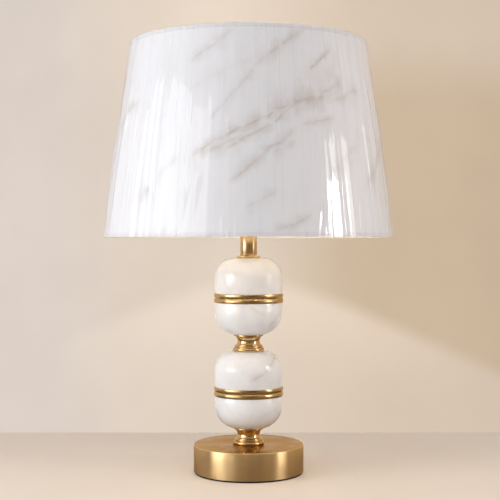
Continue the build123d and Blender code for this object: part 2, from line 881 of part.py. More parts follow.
with BuildPart() as bulb_insulator:
    with BuildSketch(Plane.XZ):
        with BuildLine():
            Polyline(
                (0, insulator_level),
                (pip_radius + insulator_margin, insulator_level),
                (insulator_radius, cap_level),
                (0, cap_level),
                close=True,
            )
        make_face()
    revolve(axis=Axis.Z)
save(bulb_insulator, "bulb_insulator")

with BuildPart() as bulb_cap:
    with BuildSketch(Plane.XZ):
        with BuildLine():
            Polyline(
                (0, cap_level),
                (insulator_radius, cap_level),
                (cap_radius, cap_level + cap_shoulder),
                (cap_radius, cap_end),
                (cap_radius - cap_wall, cap_end),
                (cap_radius - cap_wall, cap_level + cap_shoulder + cap_wall),
                (insulator_radius - cap_wall, cap_level + cap_wall),
                (0, cap_level + cap_wall),
                close=True,
            )
        make_face()
    revolve(axis=Axis.Z)
save(bulb_cap, "bulb_cap")

housing_shoulder = pip_level + bulb_housing_shoulder
board_level = housing_end - board_thickness
with BuildPart() as bulb_housing:
    with BuildSketch(Plane.XZ):
        with BuildLine():
            Polyline(
                (cap_radius - bulb_housing_wall, cap_end),
                (cap_radius + bulb_housing_wall / 2, cap_end),
                (bulb_housing_radius, housing_shoulder),
                (bulb_housing_radius, housing_end),
                (bulb_housing_radius - bulb_housing_wall, housing_end),
                (bulb_housing_radius - bulb_housing_wall, board_level),
                (bulb_housing_radius - 2 * bulb_housing_wall, board_level),
                (bulb_housing_radius - 2 * bulb_housing_wall, housing_shoulder),
                close=True,
            )
        make_face()
    revolve(axis=Axis.Z)
save(bulb_housing, "bulb_housing")

with BuildPart() as bulb_led_board:
    with BuildSketch(Plane.XY.offset(board_level)):
        Circle(bulb_housing_radius - bulb_housing_wall - fit_gap)
    extrude(amount=board_thickness)
save(bulb_led_board, "bulb_led_board")

dome_spring = bulb_top - bulb_housing_radius
dome_inner_radius = bulb_housing_radius - dome_wall
with BuildPart() as bulb_dome:
    with BuildSketch(Plane.XZ):
        with BuildLine():
            Line((dome_inner_radius, housing_end), (bulb_housing_radius, housing_end))
            Line((bulb_housing_radius, housing_end), (bulb_housing_radius, dome_spring))
            CenterArc((0, dome_spring), bulb_housing_radius, 0, 90)
            Line((0, bulb_top), (0, bulb_top - dome_wall))
            CenterArc((0, dome_spring), dome_inner_radius, 0, 90)
            Line((dome_inner_radius, dome_spring), (dome_inner_radius, housing_end))
        make_face()
    revolve(axis=Axis.Z)
save(bulb_dome, "bulb_dome")
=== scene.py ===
import math
import random

import bmesh
import bpy
import numpy as np
from mathutils import Matrix, Vector


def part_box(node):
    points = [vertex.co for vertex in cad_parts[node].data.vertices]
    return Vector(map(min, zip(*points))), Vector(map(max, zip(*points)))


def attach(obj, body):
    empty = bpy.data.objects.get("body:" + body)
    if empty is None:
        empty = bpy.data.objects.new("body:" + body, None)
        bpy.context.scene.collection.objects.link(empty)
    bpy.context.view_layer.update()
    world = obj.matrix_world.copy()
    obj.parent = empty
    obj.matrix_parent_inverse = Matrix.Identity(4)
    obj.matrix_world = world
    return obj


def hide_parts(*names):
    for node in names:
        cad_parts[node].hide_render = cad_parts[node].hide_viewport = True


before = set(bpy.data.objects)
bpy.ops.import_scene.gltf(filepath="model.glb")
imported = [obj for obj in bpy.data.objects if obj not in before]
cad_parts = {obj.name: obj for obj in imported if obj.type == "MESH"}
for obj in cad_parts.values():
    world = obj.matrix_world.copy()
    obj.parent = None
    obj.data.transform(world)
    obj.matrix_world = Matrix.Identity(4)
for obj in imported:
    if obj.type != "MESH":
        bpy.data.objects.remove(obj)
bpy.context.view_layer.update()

# ---------------------------------------------------------------- base drum
# Brass sheet spun into a drum that is open below. Its top is faced on a lathe and its side is brushed
# round and round, then both are lacquered. The cord's bush snaps into a hole low in its back.

drum_wall = 0.0015
drum_top_thickness = 0.002
drum_chamfer = 0.0008
rod_hole = 0.0052
bush_hole = 0.0046
bush_drill_length = 0.01
# The drum is one brass: its side colour is painted lighter to whiten its highlight, and its top colour
# darker, as painted light and shade.
side_colour_painted_light = (0.92, 0.67, 0.36)
top_colour_painted_shade = (0.53, 0.335, 0.12)
lacquer_tint = (0.90, 0.79, 0.66)


def spun(outline, closed=True, steps=160, edge=0.00015, sharp=32):
    """Spins an outline of (radius, height) points in metres round the lamp's axis and rounds its edges."""
    form = bmesh.new()
    corners = [form.verts.new((radius, 0, height)) for radius, height in outline]
    line = [form.edges.new(pair) for pair in zip(corners, corners[1:])]
    if closed:
        line.append(form.edges.new((corners[-1], corners[0])))
    bmesh.ops.spin(
        form, geom=corners + line, cent=(0, 0, 0), axis=(0, 0, 1), angle=math.tau, steps=steps, use_merge=True
    )
    bmesh.ops.remove_doubles(form, verts=form.verts, dist=1e-6)
    bmesh.ops.recalc_face_normals(form, faces=form.faces)
    if edge:
        corner = math.radians(sharp)
        ridges = [e for e in form.edges if e.is_manifold and e.calc_face_angle() > corner]
        bmesh.ops.bevel(
            form, geom=ridges, offset=edge, segments=2, affect="EDGES", profile=0.5, material=-1
        )
    return form


def as_piece(name, form):
    """Makes a finished bmesh a smooth-shaded object that keeps its sharp edges."""
    mesh = bpy.data.meshes.new(name)
    form.to_mesh(mesh)
    form.free()
    mesh.shade_smooth()
    mesh.set_sharp_from_angle(angle=math.radians(40))
    piece = bpy.data.objects.new(name, mesh)
    bpy.context.scene.collection.objects.link(piece)
    return piece


def turned(name, outline, **settings):
    """A piece that is one turned form."""
    return as_piece(name, spun(outline, **settings))


def fit(piece, finish, body, slot, *nodes):
    """Gives a piece its material, and hangs it on its body in the plain nodes' place. The slot is not used.
    """
    piece.data.materials.append(finish)
    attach(piece, body)
    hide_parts(*nodes)


def dress(finish, *names):
    """Gives CAD nodes that keep their own shape their material."""
    for name in names:
        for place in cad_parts[name].material_slots:
            place.material = finish


def node(tree, kind, *inputs, **settings):
    """Adds a shader node. The inputs fill or link its sockets in order, and the settings its options,
    or its sockets by name."""
    made = tree.nodes.new("ShaderNode" + kind)
    for option in [key for key in settings if hasattr(made, key)]:
        setattr(made, option, settings.pop(option))
    sockets = list(zip(made.inputs, inputs))
    sockets += [(made.inputs[key.replace("_", " ")], value) for key, value in settings.items()]
    for socket, value in sockets:
        if isinstance(value, bpy.types.NodeSocket):
            tree.links.new(value, socket)
        elif value is not None:
            socket.default_value = value
    return made


def maths(tree, operation, *inputs):
    """A sum or comparison of two or three numbers."""
    return node(tree, "Math", *inputs, operation=operation).outputs[0]


def between(tree, value, start, end, low=0.0, high=1.0):
    """Turns a value's run from start to end into a soft step from low to high."""
    step = node(tree, "MapRange", value, start, end, low, high, interpolation_type="SMOOTHSTEP")
    return step.outputs[0]


def blend_colours(tree, share, first, second):
    """Mixes two colours, given as three numbers or as sockets, by a share."""
    full = [c if isinstance(c, bpy.types.NodeSocket) else (*c, 1.0) for c in (first, second)]
    return node(tree, "Mix", share, None, None, None, None, None, *full, data_type="RGBA").outputs[2]


def material(name, **sockets):
    """A new material and its tree and shader, with the shader's plain sockets set."""
    made = bpy.data.materials.new(name)
    made.use_nodes = True
    shader = made.node_tree.nodes["Principled BSDF"]
    for key, value in sockets.items():
        shader.inputs[key.replace("_", " ")].default_value = value
    return made, made.node_tree, shader


def effect(name, inputs, outputs):
    """An empty node group for an effect that several materials share, with its sockets in place."""
    group = bpy.data.node_groups.new(name, "ShaderNodeTree")
    for way, sockets in (("INPUT", inputs), ("OUTPUT", outputs)):
        for socket, kind in sockets.items():
            group.interface.new_socket(socket, in_out=way, socket_type="NodeSocket" + kind)
    return group, group.nodes.new("NodeGroupInput"), group.nodes.new("NodeGroupOutput")


# Fine grooves that a lathe tool or a brushing belt leaves, round and round the lamp's axis
grooves, given, result = effect("lathe_grooves", {"Lines": "Float"}, {"Height": "Float"})
place = node(grooves, "TexCoord").outputs["Object"]
level = node(grooves, "SeparateXYZ", place).outputs["Z"]
flat = node(grooves, "VectorMath", place, (1, 1, 0), operation="MULTIPLY").outputs[0]
radius = node(grooves, "VectorMath", flat, operation="LENGTH").outputs["Value"]
track = maths(grooves, "MULTIPLY", maths(grooves, "ADD", radius, level), given.outputs["Lines"])
lines = node(grooves, "TexNoise", noise_dimensions="1D", W=track, Scale=1.0, Detail=3.0, Roughness=0.7)
grooves.links.new(lines.outputs[0], result.inputs["Height"])

# Faint cloudiness from handling, lacquer and dust, from 0 to 1
cloud, given, result = effect("cloudiness", {"Scale": "Float", "Detail": "Float"}, {"Tone": "Float"})
place = node(cloud, "TexCoord").outputs["Object"]
patches = node(cloud, "TexNoise", place, Scale=given.outputs["Scale"], Detail=given.outputs["Detail"])
cloud.links.new(between(cloud, patches.outputs[0], 0.3, 0.7), result.inputs["Tone"])


def cloudy(tree, scale, detail=3.0):
    """The cloudiness effect at one material's own size."""
    return node(tree, "Group", node_tree=cloud, Scale=scale, Detail=detail).outputs["Tone"]


def brass(name, colour, roughness, groove_lines, groove_depth, stretch=0.0):
    """Turned brass: cloudy lacquer over fine grooves, its gloss stretched across them."""
    made, tree, shader = material(name, Metallic=1.0, Anisotropic=stretch, Anisotropic_Rotation=0.25)
    shader.inputs["Specular Tint"].default_value = (*lacquer_tint, 1.0)
    tone = cloudy(tree, 28.0)
    worn = [channel * 0.92 for channel in colour]
    tree.links.new(blend_colours(tree, tone, worn, colour), shader.inputs["Base Color"])
    tree.links.new(between(tree, tone, 0, 1, roughness * 1.3, roughness * 0.8), shader.inputs["Roughness"])
    height = node(tree, "Group", node_tree=grooves, Lines=groove_lines).outputs["Height"]
    bump = node(tree, "Bump", Strength=0.6, Distance=groove_depth, Height=height)
    tree.links.new(bump.outputs[0], shader.inputs["Normal"])
    if stretch:
        ring = node(tree, "Tangent", direction_type="RADIAL", axis="Z")
        tree.links.new(ring.outputs[0], shader.inputs["Tangent"])
    return made


low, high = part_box("base_shell")
drum_radius = high.x
inside = drum_radius - drum_wall
drum = turned(
    "base_drum",
    [
        (drum_radius, low.z),
        (drum_radius, high.z - drum_chamfer),
        (drum_radius - drum_chamfer, high.z),
        (rod_hole, high.z),
        (rod_hole, high.z - drum_top_thickness),
        (inside, high.z - drum_top_thickness),
        (inside, low.z),
    ],
    steps=256,
)
low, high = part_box("cord_gland")
hole = bmesh.new()
sideways = Matrix.Translation((0, drum_radius, (low.z + high.z) / 2)) @ Matrix.Rotation(math.pi / 2, 4, "X")
bmesh.ops.create_cone(
    hole,
    cap_ends=True,
    segments=48,
    radius1=bush_hole,
    radius2=bush_hole,
    depth=bush_drill_length,
    matrix=sideways,
)
drill = as_piece("bush_drill", hole)
bore = drum.modifiers.new("bush_hole", "BOOLEAN")
bore.object = drill
drilled = bpy.data.meshes.new_from_object(drum.evaluated_get(bpy.context.evaluated_depsgraph_get()))
drum.modifiers.clear()
drum.data = drilled
bpy.data.objects.remove(drill)
side_brass = brass("brushed_drum_side", side_colour_painted_light, 0.37, 2600.0, 0.000004, stretch=0.93)
fit(drum, side_brass, "stand", "brushed_brass", "base_shell")
drum.data.materials.append(brass("turned_drum_top", top_colour_painted_shade, 0.24, 2600.0, 0.00002, stretch=0.6))
for face in drum.data.polygons:
    face.material_index = int(face.normal.z > 0.9)

# ---------------------------------------------------------------- inside and under the base
# A cast iron disc keeps the lamp upright. A black steel plate closes the drum, and a pad of foam
# rubber is glued under both. The weight is painted with primer, with the grain of the sand mould.

pad_edge = 0.0004


def plain(name, light, dark, rough, scale, depth, metallic=0.0, **sockets):
    """A material whose colour, gloss and surface vary with one cloudy grain."""
    made, tree, shader = material(name, Metallic=metallic, **sockets)
    tone = cloudy(tree, scale, 6.0)
    tree.links.new(blend_colours(tree, tone, dark, light), shader.inputs["Base Color"])
    tree.links.new(between(tree, tone, 0, 1, rough * 1.2, rough * 0.85), shader.inputs["Roughness"])
    bump = node(tree, "Bump", Strength=0.5, Distance=depth, Height=tone)
    tree.links.new(bump.outputs[0], shader.inputs["Normal"])
    return made


cast_iron = plain("cast_iron", (0.032, 0.032, 0.034), (0.018, 0.018, 0.02), 0.7, 420.0, 0.0003)
dress(cast_iron, "base_weight")
black_plate = plain("black_plate", (0.014, 0.014, 0.014), (0.008, 0.008, 0.008), 0.45, 900.0, 0.00005)
dress(black_plate, "bottom_plate")
low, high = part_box("foot_pad")
outline = [(0, low.z), (high.x, low.z), (high.x, high.z), (0, high.z)]
pad = turned("foot_ring_pad", outline, closed=False, edge=pad_edge)
foam_rubber = plain("foam_rubber", (0.02, 0.019, 0.018), (0.01, 0.01, 0.01), 0.9, 1500.0, 0.0002)
fit(pad, foam_rubber, "stand", "foot_foam", "foot_pad")
black_moulding = plain("black_moulding", (0.016, 0.016, 0.017), (0.011, 0.011, 0.012), 0.32, 1800.0, 0.00002)
dress(black_moulding, "cord_gland")

# ---------------------------------------------------------------- rod and its fixings
# Zinc-plated steel: the hollow threaded rod that ties the column together, its nuts and washers.
# The grub screw in the lampholder's cap is plated in the same way.

zinc = plain("zinc_plate", (0.62, 0.62, 0.60), (0.48, 0.48, 0.49), 0.3, 260.0, 0.00002, metallic=1.0)
dress(zinc, "threaded_rod", "base_washer", "base_lock_washer", "base_nut", "stem_lock_nut")
dress(zinc, "lampholder_grub_screw")

# ---------------------------------------------------------------- necks
# Two spools turned from brass bar, polished and lacquered: a round foot, a thin ring between two
# grooves, a cove drawn in to the waist, and a flared lip. The rod clamps them between the beads.

neck_foot_radius = 0.0206
neck_foot_height = 0.0044
neck_foot_bulge = 0.0012
neck_ring_radius = 0.018
neck_ring_height = 0.0024
neck_ring_bulge = 0.0008
neck_groove = 0.0005
neck_cove_radius = 0.017
neck_waist_radius = 0.0145
neck_waist_height = 0.0132
neck_flare_radius = 0.0194
neck_lip = 0.0012
cove_pull = 0.35  # how far the cove's curve stays near the waist
neck_brass = (0.76, 0.54, 0.27)


def curve(start, through, end, steps=9):
    """Points on a smooth arc from start through a middle point to end."""
    points = []
    for step in range(steps + 1):
        t = step / steps
        shares = ((1 - t) * (1 - 2 * t), 4 * t * (1 - t), t * (2 * t - 1))
        knots = list(zip(shares, (start, through, end)))
        points.append(tuple(sum(share * knot[axis] for share, knot in knots) for axis in (0, 1)))
    return points


polished_brass = brass("polished_brass", neck_brass, 0.12, 5200.0, 0.000004)
for name in ("lower_neck", "middle_neck"):
    low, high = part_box(name)
    foot_top = low.z + neck_foot_height
    ring_low = foot_top + neck_groove
    ring_top = ring_low + neck_ring_height
    cove_low = ring_top + neck_groove
    waist = low.z + neck_waist_height
    lip = high.z - neck_lip
    foot_edge = neck_foot_radius - neck_foot_bulge
    foot_middle = low.z + neck_foot_height / 2
    outline = curve((foot_edge, low.z), (neck_foot_radius, foot_middle), (foot_edge, foot_top))
    outline += [(neck_ring_radius, foot_top)]
    outline += curve(
        (neck_ring_radius, ring_low),
        (neck_ring_radius + neck_ring_bulge, ring_low + neck_ring_height / 2),
        (neck_ring_radius, ring_top),
    )
    outline += [(neck_cove_radius, ring_top)]
    cove_middle = neck_waist_radius + cove_pull * (neck_cove_radius - neck_waist_radius)
    outline += curve(
        (neck_cove_radius, cove_low),
        (cove_middle, cove_low + cove_pull * (waist - cove_low)),
        (neck_waist_radius, waist),
    )
    flare_middle = neck_waist_radius + cove_pull * (neck_flare_radius - neck_waist_radius)
    outline += curve(
        (neck_waist_radius, waist),
        (flare_middle, waist + (1 - cove_pull) * (lip - waist)),
        (neck_flare_radius, lip),
    )[1:]
    outline += [(neck_flare_radius, high.z), (rod_hole, high.z), (rod_hole, low.z)]
    neck = turned(f"{name}_spool", outline, steps=128, edge=0.0001)
    fit(neck, polished_brass, "stand", "polished_brass", name)

# ---------------------------------------------------------------- marble beads
# White marble turned on a lathe, drilled for the rod and polished. A bead's two parts meet in a
# brass band. Faint grey and brown veins run through the stone, and one crosses the lower bead.

bead_radius = 0.0446
bead_ends = {"bottom": (0.0156, 0.031), "top": (0.021, 0.025)}  # flat's radius, shoulder's height
bead_spigot_radius = 0.0374
shoulder_steps = 24
stone_bore = 0.006
stone_white = (0.87, 0.86, 0.86)
stone_cloud = (0.785, 0.765, 0.755)
vein_brown = (0.36, 0.28, 0.22)

# One wandering line of darker stone, as a mask: it starts at a point of a flat pattern, leans by a
# slope, and fades at both ends and where the stone's grain is clear
vein, given, result = effect(
    "stone_vein",
    {"Vector": "Vector", "Across": "Float", "Up": "Float", "Slope": "Float", "Half Length": "Float",
     "Width": "Float", "Wander": "Float", "Seed": "Float"},
    {"Mask": "Float"},
)
seeded = node(vein, "CombineXYZ", 0.0, 0.0, given.outputs["Seed"]).outputs[0]
spot = node(vein, "VectorMath", given.outputs["Vector"], seeded, operation="ADD").outputs[0]
across, up = node(vein, "SeparateXYZ", given.outputs["Vector"]).outputs[:2]
from_start = maths(vein, "SUBTRACT", across, given.outputs["Across"])
drift = node(vein, "TexNoise", spot, Scale=22.0, Detail=5.0, Roughness=0.55).outputs[0]
sway = maths(vein, "MULTIPLY", maths(vein, "SUBTRACT", drift, 0.5), given.outputs["Wander"])
straight = maths(vein, "MULTIPLY_ADD", from_start, given.outputs["Slope"], given.outputs["Up"])
line = maths(vein, "ADD", straight, sway)
away = maths(vein, "ABSOLUTE", maths(vein, "SUBTRACT", up, line))
thickness = node(vein, "TexNoise", spot, Scale=45.0, Detail=3.0).outputs[0]
width = maths(vein, "MULTIPLY", given.outputs["Width"], between(vein, thickness, 0.25, 0.75, 0.3, 2.2))
core = maths(vein, "SUBTRACT", 1.0, maths(vein, "MINIMUM", maths(vein, "DIVIDE", away, width), 1.0))
spread = maths(vein, "MULTIPLY", width, 4.0)
halo = maths(vein, "SUBTRACT", 1.0, maths(vein, "MINIMUM", maths(vein, "DIVIDE", away, spread), 1.0))
ends = maths(vein, "DIVIDE", maths(vein, "ABSOLUTE", from_start), given.outputs["Half Length"])
fade = between(vein, ends, 1.0, 0.6)
clear = between(vein, node(vein, "TexNoise", spot, Scale=60.0, Detail=4.0).outputs[0], 0.32, 0.6, 0.35, 1.0)
soft = maths(vein, "MULTIPLY", maths(vein, "MULTIPLY", halo, halo), 0.5)
body = maths(vein, "MAXIMUM", maths(vein, "MULTIPLY", core, 0.7), soft)
vein.links.new(maths(vein, "MULTIPLY", maths(vein, "MULTIPLY", body, fade), clear), result.inputs["Mask"])


def veins(tree, place, runs, wander):
    """Adds up several veins over one pattern. A run is across, up, slope, half length, width, strength."""
    total = None
    for seed, (across, up, slope, half, width, strength) in enumerate(runs, 1):
        one = node(tree, "Group", place, across, up, slope, half, width, wander, seed * 3.7, node_tree=vein)
        mask = maths(tree, "MULTIPLY", one.outputs[0], strength)
        total = mask if total is None else maths(tree, "MAXIMUM", total, mask)
    return total


def marble(name, runs):
    """Polished white stone: soft clouds, hairline veins all through it, and the larger veins given."""
    made, tree, shader = material(name, Roughness=0.10, IOR=1.52, Coat_Weight=0.35, Coat_Roughness=0.05)
    place = node(tree, "TexCoord").outputs["Object"]
    tone = cloudy(tree, 24.0, 5.0)
    warp = node(tree, "TexNoise", place, Scale=30.0, Detail=4.0).outputs[1]
    bent = node(tree, "VectorMath", warp, (0.03, 0.03, 0.03), place, operation="MULTIPLY_ADD").outputs[0]
    grain = node(tree, "TexNoise", bent, Scale=16.0, Detail=6.0, Roughness=0.6).outputs[0]
    hair = between(tree, maths(tree, "ABSOLUTE", maths(tree, "SUBTRACT", grain, 0.5)), 0.02, 0.0)
    faint = maths(tree, "MULTIPLY", hair, maths(tree, "MULTIPLY", cloudy(tree, 40.0), 0.1))
    across, _, up = node(tree, "SeparateXYZ", place).outputs
    flat = node(tree, "CombineXYZ", across, up).outputs[0]
    dark = maths(tree, "MAXIMUM", faint, veins(tree, flat, runs, 0.014))
    ground = blend_colours(tree, tone, stone_cloud, stone_white)
    tree.links.new(blend_colours(tree, dark, ground, vein_brown), shader.inputs["Base Color"])
    return made


upper_runs = [
    (0.034, 0.203, 1.1, 0.010, 0.0012, 0.5),
    (0.012, 0.214, -0.5, 0.012, 0.0016, 0.34),
    (-0.024, 0.240, 0.8, 0.012, 0.0018, 0.12),
]
lower_runs = [
    (0.031, 0.147, 1.30, 0.011, 0.0022, 1.0),
    (0.014, 0.131, 0.55, 0.016, 0.0024, 0.6),
    (-0.012, 0.140, 0.35, 0.014, 0.0020, 0.14),
    (-0.024, 0.086, -1.3, 0.014, 0.0014, 0.25),
    (0.028, 0.082, 0.5, 0.012, 0.0012, 0.3),
]
for place, runs in (("lower", lower_runs), ("upper", upper_runs)):
    stone = marble(f"{place}_bead_marble", runs)
    band_low, band_high = (corner.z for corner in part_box(f"{place}_bead_band"))
    for part, (flat_radius, shoulder) in bead_ends.items():
        low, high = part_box(f"{place}_bead_{part}")
        if part == "bottom":
            end, seat, spigot, way = low.z, band_low, high.z, 1
        else:
            end, seat, spigot, way = high.z, band_high, low.z, -1
        outline = [(stone_bore, end)]
        for step in range(shoulder_steps + 1):
            turn = math.radians(90 * step / shoulder_steps)
            reach = (bead_radius - flat_radius) * math.sin(turn)
            outline.append((flat_radius + reach, end + way * shoulder * (1 - math.cos(turn))))
        outline += [
            (bead_radius, seat),
            (bead_spigot_radius, seat),
            (bead_spigot_radius, spigot),
            (stone_bore, spigot),
        ]
        bead = turned(f"{place}_bead_{part}_stone", outline, steps=192)
        fit(bead, stone, "stand", "marble", f"{place}_bead_{part}")

# ---------------------------------------------------------------- bead bands
# A brass band centres the two parts of each bead on the rod. Its rim shows as two rounded hoops
# with a groove between them. Soft washers lie sunk in the brass wherever it meets stone.

band_web = 0.003
hoop_proud = 0.0008
hoop_edge_proud = 0.0004
hoop_groove = 0.0004
band_inner_radius = 0.0376
band_colour = (0.66, 0.47, 0.235)

band_brass = brass("band_brass", band_colour, 0.24, 4200.0, 0.000006)
for place in ("lower", "upper"):
    low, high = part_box(f"{place}_bead_band")
    middle = (low.z + high.z) / 2
    quarter = (high.z - low.z) / 4
    edge = bead_radius + hoop_edge_proud
    crest = bead_radius + hoop_proud
    outline = curve((edge, low.z), (crest, low.z + quarter), (bead_radius, middle - hoop_groove))
    outline += [(bead_radius - hoop_groove, middle)]
    outline += curve((bead_radius, middle + hoop_groove), (crest, high.z - quarter), (edge, high.z))
    outline += [
        (band_inner_radius, high.z),
        (band_inner_radius, middle + band_web / 2),
        (rod_hole, middle + band_web / 2),
        (rod_hole, middle - band_web / 2),
        (band_inner_radius, middle - band_web / 2),
        (band_inner_radius, low.z),
    ]
    band = turned(f"{place}_band_hoops", outline, steps=192, edge=0.0001)
    fit(band, band_brass, "stand", "polished_brass", f"{place}_bead_band")
soft_washer = plain("soft_washer", (0.5, 0.48, 0.44), (0.42, 0.4, 0.37), 0.6, 500.0, 0.00005)
dress(soft_washer, "bead_gaskets")

# ---------------------------------------------------------------- stem
# A round-edged brass washer on the upper bead, a length of brass tube, and a cap in its top end.
# The tube is brushed round and round like the base, and the other two are polished.

washer_edge = 0.001
tube_wall = 0.0015
cap_round = 0.0008

low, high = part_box("stem_washer")
tube_low, tube_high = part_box("stem_tube")
rim = high.x - washer_edge
middle = (low.z + tube_low.z) / 2
outline = curve((rim, low.z), (high.x, middle), (rim, tube_low.z))
outline += [(rod_hole, tube_low.z), (rod_hole, low.z)]
washer = turned("stem_round_washer", outline, steps=128)
fit(washer, polished_brass, "stand", "polished_brass", "stem_washer")

outer = tube_high.x
bore = outer - tube_wall
tube = turned(
    "stem_brass_tube",
    [(outer, tube_low.z), (outer, tube_high.z), (bore, tube_high.z), (bore, tube_low.z)],
    steps=96,
)
tube_brass = brass("tube_brass", neck_brass, 0.22, 3000.0, 0.000006, stretch=0.7)
fit(tube, tube_brass, "stand", "brushed_brass", "stem_tube")

cap_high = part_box("stem_cap")[1]
outline = [
    (rod_hole, cap_high.z),
    (cap_high.x, cap_high.z),
    (cap_high.x, tube_high.z),
    (rod_hole, tube_high.z),
]
cap = turned("stem_round_cap", outline, steps=96, edge=cap_round)
fit(cap, polished_brass, "stand", "polished_brass", "stem_cap")

# ---------------------------------------------------------------- lampholder
# Black moulded cap and threaded shell round a ceramic core, with brass contacts and a push bar.
# The shade ring on the shell's thread holds the shade's fitter down on the shell's flange.

shell_bore = 0.0165
shell_lip_radius = 0.0144
shell_lip = 0.002
shell_spigot_radius = 0.0181
shell_flange_radius = 0.023
shell_thread_radius = 0.0194
shell_thread_depth = 0.0006
shell_thread_pitch = 0.0025
shell_thread_margin = 0.002
thread_sunk = 0.0002  # into the wall that carries the thread


def add_thread(form, root, crest, low, pitch, turns, steps=48):
    """Winds a rounded ridge round a turned form, from a root radius to its crest."""
    half = pitch * 0.4
    profile = [(root, -half), (crest, -half / 3), (crest, half / 3), (root, half)]
    corners = [form.verts.new((radius, 0, low + shift)) for radius, shift in profile]
    start = form.faces.new(corners)
    bmesh.ops.spin(
        form,
        geom=corners + start.edges[:] + [start],
        cent=(0, 0, 0),
        axis=(0, 0, 1),
        dvec=(0, 0, pitch / steps),
        angle=math.tau * turns,
        steps=round(steps * turns),
    )
    bmesh.ops.holes_fill(form, edges=[edge for edge in form.edges if edge.is_boundary], sides=0)
    bmesh.ops.recalc_face_normals(form, faces=form.faces)


low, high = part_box("lampholder_shell")
flange_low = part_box("lampholder_cap")[1].z
flange_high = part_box("fitter_ring")[0].z
thread_root = shell_thread_radius - shell_thread_depth
shell = spun(
    [
        (shell_bore, low.z),
        (shell_spigot_radius, low.z),
        (shell_spigot_radius, flange_low),
        (shell_flange_radius, flange_low),
        (shell_flange_radius, flange_high),
        (thread_root, flange_high),
        (thread_root, high.z),
        (shell_lip_radius, high.z),
        (shell_lip_radius, high.z - shell_lip),
        (shell_bore, high.z - shell_lip),
    ],
    steps=96,
)
thread_low = flange_high + shell_thread_margin
thread_turns = (high.z - thread_low - shell_thread_margin) / shell_thread_pitch
thread_foot = thread_root - thread_sunk
add_thread(shell, thread_foot, shell_thread_radius, thread_low, shell_thread_pitch, thread_turns)
fit(as_piece("threaded_shell", shell), black_moulding, "stand", "black_plastic", "lampholder_shell")
dress(black_moulding, "lampholder_cap", "switch_bar", "shade_ring")
white_ceramic = plain("white_ceramic", (0.78, 0.76, 0.72), (0.7, 0.68, 0.64), 0.5, 700.0, 0.00005)
dress(white_ceramic, "lampholder_core")
contact_brass = plain("contact_brass", (0.8, 0.6, 0.3), (0.68, 0.5, 0.24), 0.3, 300.0, 0.00002, metallic=1.0)
dress(contact_brass, "terminal_screws", "switch_leaves", "lampholder_sleeve", "centre_contact", "bulb_pip")

# ---------------------------------------------------------------- fitter and wire rings
# Steel wire and plate, powder coated white: a plate on the lampholder, three arms, and the two wire
# rings that the shade's sheet is taped to.

powder_coat = plain("powder_coat", (0.8, 0.8, 0.78), (0.74, 0.74, 0.72), 0.4, 1600.0, 0.00003)
dress(powder_coat, "fitter_ring", "fitter_arms", "bottom_wire_ring", "top_wire_ring")

# ---------------------------------------------------------------- shade
# A stiff sheet rolled into a cone: a white face printed with faint stone veins, laminated to a
# translucent lining. White tape is folded over the wire ring at each edge.

sheet_white = (0.865, 0.875, 0.91)
print_brown = (0.37, 0.28, 0.20)
lining_white = (0.86, 0.85, 0.82)
shade_bottom_radius = 0.188
shade_top_radius = 0.1535
shade_height = 0.2515
cover_thickness = 0.0005
lining_thickness = 0.0006
tape_thickness = 0.0004
tape_gap = 0.00005
tape_outside = 0.005
tape_inside = 0.003
tape_depth = 0.0046


def unrolled(piece):
    """Gives a piece that goes round the lamp's axis a UV map in metres: across from the front, and up."""
    layer = piece.data.uv_layers.new(name="unrolled")
    vertices = piece.data.vertices
    widest = max(vertex.co.xy.length for vertex in vertices)
    for face in piece.data.polygons:
        middle = math.atan2(face.center.x, -face.center.y)
        for corner in face.loop_indices:
            spot = vertices[piece.data.loops[corner].vertex_index].co
            angle = math.atan2(spot.x, -spot.y)
            angle -= math.tau * round((angle - middle) / math.tau)
            layer.data[corner].uv = (angle * widest, spot.z)


low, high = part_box("shade_cover")
shade_foot_level = low.z
shade_foot_radius = high.x
shade_taper = (shade_bottom_radius - shade_top_radius) / shade_height


def cone_radius(level, proud=0.0):
    """Radius of the shade's face at a level, or of a cone that stands proud of it."""
    return shade_foot_radius - shade_taper * (level - shade_foot_level) + proud


def cone_outline(node_name, proud, thickness):
    """The thin slanting outline of one of the shade's sheets."""
    low, high = (corner.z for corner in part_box(node_name))
    return [
        (cone_radius(low, proud), low),
        (cone_radius(high, proud), high),
        (cone_radius(high, proud - thickness), high),
        (cone_radius(low, proud - thickness), low),
    ]


